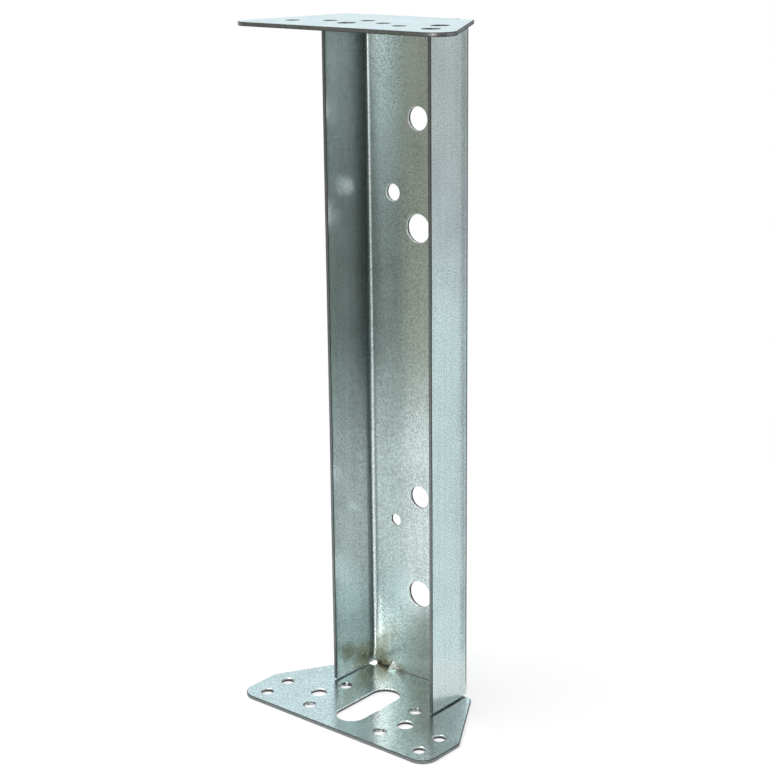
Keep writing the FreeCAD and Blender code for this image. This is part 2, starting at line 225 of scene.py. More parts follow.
# %% The give of the sheet
HALF_CHANNEL, FLANGE_DEPTH = 0.0255, 0.024
SKIN_MARGIN = 0.0001
PLATE_ZONE = 0.003
STIFF_END, FREE_END = 0.008, 0.04
WEB_BORDER, WEB_FADE = 0.004, 0.008
STIFF_FLANGE, FREE_FLANGE = 0.005, 0.014


def ease(value, start, end):
    """Smooth step from 0 at start to 1 at end."""
    t = min(1.0, max(0.0, (value - start) / (end - start)))
    return t * t * (3 - 2 * t)


def give(point):
    """The direction in which the sheet can give at a point, its length from 0 to 1."""
    across, depth, height = abs(point.x - MID_X), BACK_Y - point.y, point.z
    ends = ease(height, STIFF_END, FREE_END) * ease(high.z - height, STIFF_END, FREE_END)
    if depth < SHEET + SKIN_MARGIN and across < HALF_CHANNEL - WEB_BORDER:
        return Vector((0, ends * ease(HALF_CHANNEL - WEB_BORDER - across, 0, WEB_FADE), 0))
    in_flange = across > HALF_CHANNEL - SHEET - SKIN_MARGIN and depth < FLANGE_DEPTH + SKIN_MARGIN
    if in_flange and PLATE_ZONE < height < high.z - PLATE_ZONE:
        return Vector((ends * ease(depth, STIFF_FLANGE, FREE_FLANGE), 0, 0))
    return Vector((0, 0, 0))


print("give in the middle of the web", give(Vector((MID_X, BACK_Y, high.z / 2))).length)

# %% [markdown]
# ## What bending leaves
#
# Two more things happen when sheet is bent. The press can't stop the bend dead, so the curve runs
# out over the first millimetres of a flange. And the metal springs back: the far flange opens by a
# degree or two, with its bend a little further in than drawn. Both are fixed shapes, so they are
# worked out here as one small shift sideways.

# %% The shift sideways
TANGENT = 0.0035
BEND_MIDDLE = HALF_CHANNEL - TANGENT
RUN_OUT, RUN_OUT_SLOPE = 0.008, 0.10
SPRING_BACK, SPRING_LOSS = 0.0006, 0.3
SPRING_WEB_START = 0.015
SPRING_FOOT_START, SPRING_FOOT_END = 0.0025, 0.010
FLANGE_MARGIN, SLIT_HEIGHT = 0.0005, 0.0019


def sideways(point):
    """How far a bend's run-out and the spring-back shift the sheet across the channel here."""
    across, depth, height = point.x - MID_X, BACK_Y - point.y, point.z
    if depth > FLANGE_DEPTH + FLANGE_MARGIN or not SLIT_HEIGHT < height < high.z - SLIT_HEIGHT:
        return 0.0
    in_web = abs(across) < BEND_MIDDLE
    shift = 0.0
    if not in_web and depth < TANGENT + RUN_OUT:
        shift = 0.5 * RUN_OUT_SLOPE * (TANGENT + RUN_OUT - max(depth, TANGENT)) ** 2 / RUN_OUT
        shift *= -math.copysign(ease(depth, 0, TANGENT), across)
    if across < 0:
        share = ease(-across, SPRING_WEB_START, BEND_MIDDLE) if in_web else 1.0
        share *= max(0.0, min(1.0, (FLANGE_DEPTH - depth) / (FLANGE_DEPTH - TANGENT))) ** 2
        loss = 1 - SPRING_LOSS * height / high.z
        shift += SPRING_BACK * share * loss * ease(height, SPRING_FOOT_START, SPRING_FOOT_END)
    return shift


far_bend = Vector((MID_X - HALF_CHANNEL, BACK_Y - TANGENT, high.z / 2))
print("shift at half height of the far bend", round(1000 * sideways(far_bend), 2), "mm")

# %% [markdown]
# ## Painted shade, sides and holes
#
# Three more values are worked out on the undisturbed shape, because a pattern made from places
# alone would miss the bends once they have moved. The first says how much painted shade darkens
# the inside of the upright bends. The second says which side of the sheet faces into the channel:
# a stain that is only a cloud round a point would show on both sides of such thin metal. The third
# says how deep a point of a hole wall lies, from the side where the punch went in. Four small
# holes beside the slot have one middling depth stored all over, so their walls are an even grey:
# painted shade.

# %% Painted shade along the bends
BEND_RADIUS = 0.5 * (2 * TANGENT - SHEET)
# Painted shade: a dark band along the inside of each upright bend, broader high up.
SHADE_MARGIN, SHADE_FOOT, SHADE_HEAD = 0.0002, 0.003, 0.002
SHADE_TURN_START, SHADE_TURN_FULL = math.radians(40), math.radians(58)
SHADE_DEPTH, SHADE_FADE = 0.0052, 0.0015
BROAD_SHADE, BROAD_SHADE_DEPTH, BROAD_SHADE_FADE = 0.9, 0.0115, 0.0078
BROAD_SHADE_LOW, BROAD_SHADE_HIGH = 0.09, 0.16


def bend_shade(point):
    """How much painted shade lies here along the inside of an upright bend, from 0 to 1."""
    across, depth, height = abs(point.x - MID_X), BACK_Y - point.y, point.z
    if not BEND_MIDDLE < across < HALF_CHANNEL - SHEET + SHADE_MARGIN:
        return 0.0
    if not SHADE_FOOT < height < high.z - SHADE_HEAD:
        return 0.0
    if depth < TANGENT:
        beside, before = across - BEND_MIDDLE, TANGENT - depth
        if math.hypot(beside, before) > BEND_RADIUS:
            return 0.0
        return ease(math.atan2(beside, before), SHADE_TURN_START, SHADE_TURN_FULL)
    broad_shade = BROAD_SHADE * ease(BROAD_SHADE_DEPTH - depth, 0, BROAD_SHADE_FADE) * ease(height, BROAD_SHADE_LOW, BROAD_SHADE_HIGH)
    return max(ease(SHADE_DEPTH - depth, 0, SHADE_FADE), broad_shade)


print("radius that parts inside from outside", round(1000 * BEND_RADIUS, 2), "mm")

# %% Which side faces the channel, and how deep a hole wall is
OUTER_SHARE, INNER_SHARE = 0.2, 0.8
PLATE_LIMIT = 0.004
# Four small holes beside the slot, whose walls get painted shade.
SHADED_HOLE_ACROSS, SHADED_HOLE_ROWS = 0.018, (-0.019, 0.0025)
SHADED_HOLES = [(MID_X + side * SHADED_HOLE_ACROSS, y) for side in (-1, 1) for y in SHADED_HOLE_ROWS]
SHADED_HOLE_REACH, SHADED_HOLE_DEPTH = 0.0035, 0.385


def inner_side(point):
    """0 on the outside of the folded sheet, 1 on the side that faces into the channel."""
    across, depth, height = abs(point.x - MID_X), BACK_Y - point.y, point.z
    from_outside = min(depth, height, high.z - height)
    if PLATE_ZONE < height < high.z - PLATE_ZONE:
        from_outside = min(from_outside, HALF_CHANNEL - across)
        if across > BEND_MIDDLE and depth < TANGENT:
            from_outside = TANGENT - math.hypot(across - BEND_MIDDLE, TANGENT - depth)
    return ease(from_outside, OUTER_SHARE * SHEET, INNER_SHARE * SHEET)


def punch_depth(point):
    """How far through the sheet a hole wall is: 0 where the punch went in, 1 where it came out."""
    # Four small holes beside the slot get one middling depth, so their walls are an even grey:
    # painted shade.
    away = min(math.hypot(point.x - x, point.y - y) for x, y in SHADED_HOLES)
    if point.z < PLATE_LIMIT and away < SHADED_HOLE_REACH:
        return SHADED_HOLE_DEPTH
    if PLATE_LIMIT < point.z < high.z - PLATE_LIMIT:
        left = BACK_Y - point.y
    else:
        left = min(point.z, high.z - point.z)
    return min(1.0, max(0.0, 1 - left / SHEET))


print("shaded holes", len(SHADED_HOLES))

# %% Store the values on the points
mesh = bpy.data.meshes.new("sheet")
bm.to_mesh(mesh)
bm.free()
gives = [part for vertex in mesh.vertices for part in give(vertex.co)]
mesh.attributes.new("give", "FLOAT_VECTOR", "POINT").data.foreach_set("vector", gives)
RULES = {"bend_shade": bend_shade, "sideways": sideways, "inner_side": inner_side,
         "punch_depth": punch_depth}
for name, rule in RULES.items():
    values = [rule(vertex.co) for vertex in mesh.vertices]
    mesh.attributes.new(name, "FLOAT", "POINT").data.foreach_set("value", values)
    print(name, "on", sum(value != 0 for value in values), "of", len(values), "points")

# %% [markdown]
# ## The zinc finish
#
# The coating is a bright metal with a slightly green blue tint. Close to, it is grainy, because
# the sheet was rolled with a matt roll, and it is cloudy over a few centimetres, with fine streaks
# up the sheet. All three belong to the skin and to the cut metal alike, so they are one node group
# with the sizes as inputs. A few helpers come first, which make the nodes that are used again and
# again.

# %% Helpers for node trees
FLOAT, VECTOR = "NodeSocketFloat", "NodeSocketVector"


def group(name, inputs, outputs):
    """A shader node group with named sockets: (name, kind, default)."""
    tree = bpy.data.node_groups.new(name, "ShaderNodeTree")
    for socket, kind, default in inputs:
        made = tree.interface.new_socket(socket, in_out="INPUT", socket_type=kind)
        if default is not None:
            made.default_value = default
    for socket, kind in outputs:
        tree.interface.new_socket(socket, in_out="OUTPUT", socket_type=kind)
    return tree, tree.nodes.new("NodeGroupInput"), tree.nodes.new("NodeGroupOutput")


def sums(tree, operation, first, second=None, clamp=False):
    """A Math node on two values or sockets; returns its output."""
    made = tree.nodes.new("ShaderNodeMath")
    made.operation = operation
    made.use_clamp = clamp
    for socket, value in zip(made.inputs, (first, second)):
        if isinstance(value, (int, float)):
            socket.default_value = value
        elif value is not None:
            tree.links.new(value, socket)
    return made.outputs[0]


def vector_sums(tree, operation, vector, other=None):
    """A Vector Math node on a socket and a fixed vector; returns the node."""
    made = tree.nodes.new("ShaderNodeVectorMath")
    made.operation = operation
    tree.links.new(vector, made.inputs[0])
    if other is not None:
        made.inputs[1].default_value = other
    return made


def noise(tree, vector, scale, detail=2.0, roughness=0.5):
    """A Noise Texture; scale may be a number or a socket."""
    made = tree.nodes.new("ShaderNodeTexNoise")
    made.inputs["Detail"].default_value = detail
    made.inputs["Roughness"].default_value = roughness
    tree.links.new(vector, made.inputs["Vector"])
    if isinstance(scale, (int, float)):
        made.inputs["Scale"].default_value = scale
    else:
        tree.links.new(scale, made.inputs["Scale"])
    return made.outputs["Fac"]


print("helpers ready")

# %% Node group for the grain
STREAK_STRETCH, STREAKS_PER_METRE, STREAK_HEIGHT = (1, 1, 0.03), 450.0, 0.25

zinc_grain, entry, leave = group(
    "zinc_grain",
    [("Vector", VECTOR, None), ("Grain per metre", FLOAT, 1100.0),
     ("Cloud per metre", FLOAT, 60.0)],
    [("Grain", FLOAT), ("Cloud", FLOAT), ("Streak", FLOAT), ("Height", FLOAT)])
place = entry.outputs["Vector"]
along = vector_sums(zinc_grain, "MULTIPLY", place, STREAK_STRETCH).outputs[0]
fine = noise(zinc_grain, place, entry.outputs["Grain per metre"], 2.0, 0.6)
cloud = noise(zinc_grain, place, entry.outputs["Cloud per metre"], 3.0, 0.55)
streak = noise(zinc_grain, along, STREAKS_PER_METRE, 2.0, 0.6)
rough_height = sums(zinc_grain, "ADD", fine, sums(zinc_grain, "MULTIPLY", streak, STREAK_HEIGHT))
for socket, value in (("Grain", fine), ("Cloud", cloud), ("Streak", streak),
                      ("Height", rough_height)):
    zinc_grain.links.new(value, leave.inputs[socket])
print("group", zinc_grain.name, [s.name for s in zinc_grain.interface.items_tree])

# %% [markdown]
# ## The stain in the corner
#
# Where the far flange, the web and the foot meet, the coating cracked when it was folded, and the
# corner has gone yellow brown. The stain is a soft ragged cloud round a few points, made once and
# used on the skin and on the cut metal that it covers. The same group has a second mask, for a
# dark line of painted shade in the tight folds of the foot and the head.

# %% Node group for the corner stain
# Each spot has a middle, a reach and a strength.
STAIN_SPOTS = [((-0.0226, 0.0264, 0.0026), 0.0033, 1.0),
               ((-0.0230, 0.0262, 0.0065), 0.0055, 0.4),
               ((-0.0270, 0.0205, 0.0070), 0.0075, 0.55),
               ((-0.0276, 0.0115, 0.0115), 0.0055, 0.52),
               ((-0.0207, 0.0256, 0.0026), 0.0030, 0.9),
               ((-0.0122, 0.0258, 0.0024), 0.0028, 0.6),
               ((-0.0168, 0.0245, 0.0030), 0.0045, 0.22)]
STAIN_GRAIN, RAGGED_START, RAGGED_GAIN = 700.0, 0.27, 2.6
SPOT_RIM, SPOT_GAIN = 1.15, 2.2

corner_stain_and_fold_shade, entry, leave = group("corner_stain_and_fold_shade", [("Vector", VECTOR, None)],
                                   [("Stain", FLOAT), ("Fold shade", FLOAT)])
place = entry.outputs["Vector"]
ragged = noise(corner_stain_and_fold_shade, place, STAIN_GRAIN, 3.0, 0.6)
ragged = sums(corner_stain_and_fold_shade, "SUBTRACT", ragged, RAGGED_START)
ragged = sums(corner_stain_and_fold_shade, "MULTIPLY", ragged, RAGGED_GAIN, True)
total = None
for middle, reach, strength in STAIN_SPOTS:
    away = vector_sums(corner_stain_and_fold_shade, "DISTANCE", place, middle).outputs["Value"]
    near = sums(corner_stain_and_fold_shade, "SUBTRACT", SPOT_RIM, sums(corner_stain_and_fold_shade, "DIVIDE", away, reach))
    spot = sums(corner_stain_and_fold_shade, "MULTIPLY", near, ragged, True)
    spot = sums(corner_stain_and_fold_shade, "MULTIPLY", spot, SPOT_GAIN * strength, True)
    total = spot if total is None else sums(corner_stain_and_fold_shade, "MAXIMUM", total, spot)
corner_stain_and_fold_shade.links.new(total, leave.inputs["Stain"])
print("group", corner_stain_and_fold_shade.name, len(STAIN_SPOTS), "spots")

# %% Painted shade in the folds
# A dark line of painted shade along the inner crease of the foot fold and the head fold.
FOLD_Y, FOLD_HEIGHTS = 0.0262, (0.0018, 0.2632)
FOLD_SHADE, FOLD_SHADE_RIM, FOLD_SHADE_REACH = 0.8, 1.7, 0.00038

parts = corner_stain_and_fold_shade.nodes.new("ShaderNodeSeparateXYZ")
corner_stain_and_fold_shade.links.new(place, parts.inputs[0])
fold_shade = None
for fold_height in FOLD_HEIGHTS:
    squares = []
    for axis, middle in (("Y", FOLD_Y), ("Z", fold_height)):
        offset = sums(corner_stain_and_fold_shade, "SUBTRACT", parts.outputs[axis], middle)
        squares.append(sums(corner_stain_and_fold_shade, "POWER", offset, 2.0))
    away = sums(corner_stain_and_fold_shade, "SQRT", sums(corner_stain_and_fold_shade, "ADD", *squares))
    away = sums(corner_stain_and_fold_shade, "DIVIDE", away, FOLD_SHADE_REACH)
    line = sums(corner_stain_and_fold_shade, "SUBTRACT", FOLD_SHADE_RIM, away, True)
    fold_shade = line if fold_shade is None else sums(corner_stain_and_fold_shade, "MAXIMUM", fold_shade, line)
corner_stain_and_fold_shade.links.new(sums(corner_stain_and_fold_shade, "MULTIPLY", fold_shade, FOLD_SHADE), leave.inputs["Fold shade"])
print("grime in", len(FOLD_HEIGHTS), "folds")

# %% [markdown]
# ## The four materials
#
# All four are fully metallic: their colour is what they mirror, tinted. The roughness is low
# enough for the foot to mirror the channel softly, and the grain breaks it up, with a coarser
# grain added inside the channel. The skin has painted shade along the insides of the bends, and a
# few lighter, frosty patches on the web and foot, the two low ones painted reflection. The sheared
# outline is grey, and its rolled rims have lost their zinc, so they are dark. The wall of a hole
# is smooth and bright where the punch cut it, and dark and torn from the middle on, where the
# metal broke away.

# %% Helpers for the materials


def mix(tree, factor, first, second):
    """A colour mix; first and second are sockets or colours."""
    made = tree.nodes.new("ShaderNodeMix")
    made.data_type = "RGBA"
    tree.links.new(factor, made.inputs[0])
    for socket, value in ((made.inputs[6], first), (made.inputs[7], second)):
        if isinstance(value, tuple):
            socket.default_value = value
        else:
            tree.links.new(value, socket)
    return made.outputs[2]


def between(tree, value, start, end, low_value, high_value):
    """Maps a value from one range to another and holds the ends."""
    made = tree.nodes.new("ShaderNodeMapRange")
    tree.links.new(value, made.inputs["Value"])
    for socket, number in zip(made.inputs[1:5], (start, end, low_value, high_value)):
        socket.default_value = number
    return made.outputs[0]


def placed(tree, node_group, place):
    """A node group put into a material, fed with the place on the piece."""
    made = tree.nodes.new("ShaderNodeGroup")
    made.node_tree = node_group
    tree.links.new(place, made.inputs["Vector"])
    return made


def stored(tree, name):
    """A value that was stored on the points of the sheet."""
    made = tree.nodes.new("ShaderNodeAttribute")
    made.attribute_name = name
    return made.outputs["Fac"]


print("material helpers ready")

# %% A grainy metal with stain and painted fold shade
STAIN_DARK, STAIN_PALE = (0.11, 0.115, 0.055, 1), (0.55, 0.57, 0.40, 1)
# Colour of the painted shade in the folds.
FOLD_SHADE_COLOUR = (0.05, 0.055, 0.05, 1)
INNER_GRAIN = 1200.0
# Each range has the start and end of a pattern, then the values that they turn into.
CLOUD_RANGE, STREAK_RANGE = (0.35, 0.7, 0, 0.3), (0.4, 0.7, 0, 0.2)
GRAIN_RANGE, INNER_RANGE = (0.40, 0.60, -0.08, 0.64), (0.40, 0.60, -0.24, 0.24)
STAIN_RANGE = (0.4, 0.6, 0, 1)
ROUGH_START, ROUGH_END, STAIN_AND_FOLD_ROUGHNESS = 0.3, 0.7, 0.2
BUMP_STRENGTH = 0.6


def metal(name, bright, dull, grain_scale, rough, bump_depth):
    """A metal with grain, stain and painted fold shade; returns the material, its colour and its
    roughness.
    """
    material = bpy.data.materials.new(name)
    material.use_nodes = True
    tree = material.node_tree
    shader = tree.nodes["Principled BSDF"]
    place = tree.nodes.new("ShaderNodeTexCoord").outputs["Object"]
    grain = placed(tree, zinc_grain, place)
    grain.inputs["Grain per metre"].default_value = grain_scale
    corner = placed(tree, corner_stain_and_fold_shade, place)
    inner = stored(tree, "inner_side")

    dullness = sums(tree, "ADD", between(tree, grain.outputs["Cloud"], *CLOUD_RANGE),
                    between(tree, grain.outputs["Grain"], *GRAIN_RANGE))
    coarse = between(tree, noise(tree, place, INNER_GRAIN), *INNER_RANGE)
    dullness = sums(tree, "ADD", dullness, sums(tree, "MULTIPLY", coarse, inner))
    streaks = between(tree, grain.outputs["Streak"], *STREAK_RANGE)
    colour = mix(tree, sums(tree, "ADD", dullness, streaks, True), bright, dull)

    stain = sums(tree, "MULTIPLY", corner.outputs["Stain"], inner)
    rust = mix(tree, between(tree, grain.outputs["Grain"], *STAIN_RANGE), STAIN_DARK, STAIN_PALE)
    colour = mix(tree, stain, colour, rust)
    # Painted shade darkens the creases of the folds.
    colour = mix(tree, corner.outputs["Fold shade"], colour, FOLD_SHADE_COLOUR)
    tree.links.new(colour, shader.inputs["Base Color"])

    stain_and_fold_shade = sums(tree, "MAXIMUM", stain, corner.outputs["Fold shade"])
    roughness = between(tree, grain.outputs["Grain"], ROUGH_START, ROUGH_END, *rough)
    roughness = sums(tree, "ADD", roughness, sums(tree, "MULTIPLY", stain_and_fold_shade, STAIN_AND_FOLD_ROUGHNESS))
    tree.links.new(roughness, shader.inputs["Roughness"])
    shader.inputs["Metallic"].default_value = 1.0

    bump = tree.nodes.new("ShaderNodeBump")
    bump.inputs["Strength"].default_value = BUMP_STRENGTH
    bump.inputs["Distance"].default_value = bump_depth
    tree.links.new(grain.outputs["Height"], bump.inputs["Height"])
    tree.links.new(bump.outputs["Normal"], shader.inputs["Normal"])
    return material, colour, roughness


zinc_skin, skin_colour, skin_roughness = metal(
    "zinc_skin", bright=(0.695, 0.815, 0.815, 1), dull=(0.45, 0.53, 0.53, 1),
    grain_scale=1600.0, rough=(0.18, 0.26), bump_depth=0.000025)
sheared_edge, _, _ = metal(
    "sheared_edge", bright=(0.26, 0.29, 0.295, 1), dull=(0.145, 0.165, 0.17, 1),
    grain_scale=2200.0, rough=(0.3, 0.5), bump_depth=0.00004)
punched_wall, wall_colour, _ = metal(
    "punched_wall", bright=(0.76, 0.83, 0.83, 1), dull=(0.50, 0.56, 0.56, 1),
    grain_scale=1800.0, rough=(0.2, 0.35), bump_depth=0.00004)
rolled_rim, _, _ = metal(
    "rolled_rim", bright=(0.08, 0.085, 0.085, 1), dull=(0.04, 0.045, 0.045, 1),
    grain_scale=2200.0, rough=(0.4, 0.6), bump_depth=0.00004)
FINISHES = {"Skin": zinc_skin, "Edge": sheared_edge, "Hole wall": punched_wall, "Rim": rolled_rim}
print("materials", [finish.name for finish in FINISHES.values()])

# %% Painted shade in the bends and lighter patches on the skin
# Colour of the painted shade along the insides of the upright bends.
BEND_SHADE_COLOUR = (0.10, 0.12, 0.115, 1)
BEND_SHADE_STRENGTH, BEND_SHADE_GRAIN, BEND_SHADE_RANGE = 0.85, 1500.0, (0.35, 0.6, 0.72, 1)
# Each patch has a middle, its reach along the three axes and a strength. The two low patches
# are painted reflection, lighter and frostier than the zinc round them.
DRY_AND_SHEEN_PATCHES = [((-0.0150, 0.0265, 0.257), (0.014, 0.02, 0.06), 0.55),
               ((-0.0110, 0.0262, 0.026), (0.0100, 0.012, 0.024), 0.9),
               ((-0.0140, 0.0160, 0.0015), (0.0090, 0.008, 0.006), 0.6)]
PATCH_START, PATCH_END, PATCH_ROUGHNESS = 0.4, 1.1, 0.06
FROST, FROST_GRAIN = (0.84, 1.0, 1.0, 1), (0.40, 0.52, 0.52, 1)
SPECKS_PER_METRE, SPECK_RANGE = 1900.0, (0.53, 0.65, 0, 1)


def add_bend_shade_and_patches(material, colour, roughness):
    """Painted shade along the insides of the bends, and lighter patches on the web and the foot.
    """
    tree = material.node_tree
    shader = tree.nodes["Principled BSDF"]
    place = tree.nodes.new("ShaderNodeTexCoord").outputs["Object"]
    # Painted shade along the bends, made patchy by noise.
    patchy = between(tree, noise(tree, place, BEND_SHADE_GRAIN, 2.0, 0.6), *BEND_SHADE_RANGE)
    shade_in_bends = sums(tree, "MULTIPLY", stored(tree, "bend_shade"), patchy)
    shade_in_bends = sums(tree, "MULTIPLY", shade_in_bends, BEND_SHADE_STRENGTH)

    dry_and_sheen = None
    for middle, reach, strength in DRY_AND_SHEEN_PATCHES:
        offset = vector_sums(tree, "SUBTRACT", place, middle).outputs[0]
        share = vector_sums(tree, "DIVIDE", offset, reach).outputs[0]
        away = vector_sums(tree, "LENGTH", share).outputs["Value"]
        patch = between(tree, away, PATCH_START, PATCH_END, strength, 0)
        dry_and_sheen = patch if dry_and_sheen is None else sums(tree, "MAXIMUM", dry_and_sheen, patch)
    dry_and_sheen = sums(tree, "MULTIPLY", dry_and_sheen, stored(tree, "inner_side"))
    specks = between(tree, noise(tree, place, SPECKS_PER_METRE, 2.0, 0.7), *SPECK_RANGE)

    # The patches turn lighter and frosty; in the two low ones this is painted reflection.
    colour = mix(tree, dry_and_sheen, colour, mix(tree, specks, FROST, FROST_GRAIN))
    tree.links.new(mix(tree, shade_in_bends, colour, BEND_SHADE_COLOUR), shader.inputs["Base Color"])
    roughness = sums(tree, "ADD", roughness, sums(tree, "MULTIPLY", dry_and_sheen, PATCH_ROUGHNESS))
    tree.links.new(roughness, shader.inputs["Roughness"])


add_bend_shade_and_patches(zinc_skin, skin_colour, skin_roughness)
print("dry patches", len(DRY_AND_SHEEN_PATCHES), "on", zinc_skin.name)

# %% The torn half of the hole walls
TORN_COLOUR = (0.04, 0.045, 0.045, 1)
TORN_GRAIN, TORN_RAGGED, TORN_RANGE = 900.0, 0.25, (0.34, 0.42, 0, 0.97)


def add_torn_half(material, colour):
    """Darkens the half of a hole wall where the metal broke away, with a ragged border."""
    tree = material.node_tree
    shader = tree.nodes["Principled BSDF"]
    place = tree.nodes.new("ShaderNodeTexCoord").outputs["Object"]
    ragged = sums(tree, "SUBTRACT", noise(tree, place, TORN_GRAIN), 0.5)
    ragged = sums(tree, "MULTIPLY", ragged, TORN_RAGGED)
    border = sums(tree, "ADD", stored(tree, "punch_depth"), ragged)
    torn = between(tree, border, *TORN_RANGE)
    tree.links.new(mix(tree, torn, colour, TORN_COLOUR), shader.inputs["Base Color"])


add_torn_half(punched_wall, wall_colour)
print("torn half on", punched_wall.name)

# %% [markdown]
# ## Setting the sheet
#
# A geometry node tree moves the points: first the stored shift, then a slow wave over the web and
# the flanges. Doing this with nodes keeps the height and length of the wave as inputs that can be
# turned up and down. Both skins of the sheet read almost the same wave, so the sheet keeps its
# thickness.

# %% Build the node tree for the uneven sheet
tree = bpy.data.node_groups.new("uneven_sheet", "GeometryNodeTree")
for name, kind in (("Geometry", "NodeSocketGeometry"), ("Wave height", FLOAT),
                   ("Waves per metre", FLOAT), ("Seed", FLOAT),
                   *((finish, "NodeSocketMaterial") for finish in FINISHES)):
    tree.interface.new_socket(name, in_out="INPUT", socket_type=kind)
tree.interface.new_socket("Geometry", in_out="OUTPUT", socket_type="NodeSocketGeometry")
entry, leave = tree.nodes.new("NodeGroupInput"), tree.nodes.new("NodeGroupOutput")
socket_of = {s.name: s.identifier for s in tree.interface.items_tree if s.in_out == "INPUT"}


def named(tree, name, kind):
    """Reads a stored attribute."""
    made = tree.nodes.new("GeometryNodeInputNamedAttribute")
    made.data_type = kind
    made.inputs["Name"].default_value = name
    return next(o for o in made.outputs if o.enabled and o.name == "Attribute")


def scaled(tree, vector, value):
    """A vector times a value."""
    made = tree.nodes.new("ShaderNodeVectorMath")
    made.operation = "SCALE"
    tree.links.new(vector, made.inputs[0])
    tree.links.new(value, made.inputs["Scale"])
    return made.outputs[0]


position = tree.nodes.new("GeometryNodeInputPosition").outputs[0]
wave = tree.nodes.new("ShaderNodeTexNoise")
wave.noise_dimensions = "4D"
wave.inputs["Detail"].default_value = 1.0
tree.links.new(position, wave.inputs["Vector"])
tree.links.new(entry.outputs["Seed"], wave.inputs["W"])
tree.links.new(entry.outputs["Waves per metre"], wave.inputs["Scale"])
rise = sums(tree, "SUBTRACT", wave.outputs["Fac"], 0.5)
rise = sums(tree, "MULTIPLY", rise, entry.outputs["Wave height"])
print("inputs", list(socket_of))

# %% Move the points, then set the materials
lean = tree.nodes.new("ShaderNodeCombineXYZ")
tree.links.new(named(tree, "sideways", "FLOAT"), lean.inputs["X"])
bend = tree.nodes.new("GeometryNodeSetPosition")
tree.links.new(entry.outputs["Geometry"], bend.inputs["Geometry"])
tree.links.new(lean.outputs[0], bend.inputs["Offset"])

move = tree.nodes.new("GeometryNodeSetPosition")
tree.links.new(bend.outputs[0], move.inputs["Geometry"])
tree.links.new(scaled(tree, named(tree, "give", "FLOAT_VECTOR"), rise), move.inputs["Offset"])
realize = tree.nodes.new("GeometryNodeRealizeInstances")
tree.links.new(move.outputs[0], realize.inputs[0])

kind = tree.nodes.new("GeometryNodeInputMaterialIndex").outputs[0]
result = realize.outputs[0]
for index, finish in enumerate(FINISHES):
    paint = tree.nodes.new("GeometryNodeSetMaterial")
    tree.links.new(result, paint.inputs["Geometry"])
    tree.links.new(sums(tree, "COMPARE", kind, index), paint.inputs["Selection"])
    tree.links.new(entry.outputs[finish], paint.inputs["Material"])
    result = paint.outputs[0]
tree.links.new(result, leave.inputs["Geometry"])
print("nodes", len(tree.nodes))

# %% [markdown]
# The tree runs on the working copy as a modifier. A weighted normal modifier after it keeps the
# flat areas flat in the shading, so that the narrow bevels and the bends carry all of the turn.
# The evaluated result becomes the plain mesh that stands for the solid model.

# %% Run the tree and keep the result
for finish in FINISHES.values():
    mesh.materials.append(finish)
working = bpy.data.objects.new("working_sheet", mesh)
bpy.context.scene.collection.objects.link(working)
uneven = working.modifiers.new("uneven", "NODES")
uneven.node_group = tree
SETTINGS = {"Wave height": 0.0004, "Waves per metre": 16.0, "Seed": 3.0, **FINISHES}
for name, value in SETTINGS.items():
    uneven[socket_of[name]] = value
weighted = working.modifiers.new("weighted", "WEIGHTED_NORMAL")
weighted.weight = 100
weighted.keep_sharp = True

bpy.context.view_layer.update()
graph = bpy.context.evaluated_depsgraph_get()
final_mesh = bpy.data.meshes.new_from_object(working.evaluated_get(graph), depsgraph=graph)
final_mesh.name = "bracket_sheet"
bpy.data.objects.remove(working)
bracket = bpy.data.objects.new("bracket_sheet", final_mesh)
bpy.context.scene.collection.objects.link(bracket)
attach(bracket, "root")
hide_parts("angle_bracket")
print("bracket faces", len(final_mesh.polygons), "materials", len(final_mesh.materials))

# %% [markdown]
# ## The floor and the white surroundings
#
# The bracket stands on a pale floor that keeps a faint shadow. Rays from the camera and from
# mirror-like metal see the same white, so the floor and the surroundings join without a horizon.

# %% Floor
FLOOR_RADIUS, FLOOR_DROP, FLOOR_COLOUR = 1.6, 0.0003, (0.86, 0.86, 0.86, 1)
# Near the bracket the floor shows a little of its shade, further out it is white.
NEAR_FLOOR, OPEN_FLOOR, NEAR_SHARE = 0.08, 0.45, 0.70


def sees_background(tree):
    """1 for rays that show the background: from the camera, a reflection or glass."""
    path = tree.nodes.new("ShaderNodeLightPath")
    first = sums(tree, "MAXIMUM", path.outputs["Is Camera Ray"], path.outputs["Is Glossy Ray"])
    return sums(tree, "MAXIMUM", first, path.outputs["Is Transmission Ray"])


floor_mesh = bpy.data.meshes.new("floor")
bm = bmesh.new()
bmesh.ops.create_circle(bm, cap_ends=True, segments=96, radius=FLOOR_RADIUS)
bm.to_mesh(floor_mesh)
bm.free()
floor = bpy.data.objects.new("floor", floor_mesh)
floor.location.z = -FLOOR_DROP
bpy.context.scene.collection.objects.link(floor)

pale = bpy.data.materials.new("pale_floor")
pale.use_nodes = True
tree = pale.node_tree
diffuse = tree.nodes["Principled BSDF"]
diffuse.inputs["Base Color"].default_value = FLOOR_COLOUR
diffuse.inputs["Roughness"].default_value = 1.0
diffuse.inputs["Specular IOR Level"].default_value = 0.0
white = tree.nodes.new("ShaderNodeEmission")
place = tree.nodes.new("ShaderNodeTexCoord").outputs["Object"]
away = vector_sums(tree, "LENGTH", place).outputs["Value"]
open_floor = between(tree, away, NEAR_FLOOR, OPEN_FLOOR, NEAR_SHARE, 1.0)
blend = tree.nodes.new("ShaderNodeMixShader")
tree.links.new(sums(tree, "MULTIPLY", open_floor, sees_background(tree)), blend.inputs[0])
tree.links.new(diffuse.outputs[0], blend.inputs[1])
tree.links.new(white.outputs[0], blend.inputs[2])
tree.links.new(blend.outputs[0], tree.nodes["Material Output"].inputs["Surface"])
floor_mesh.materials.append(pale)
print("floor of", 2 * FLOOR_RADIUS, "m")

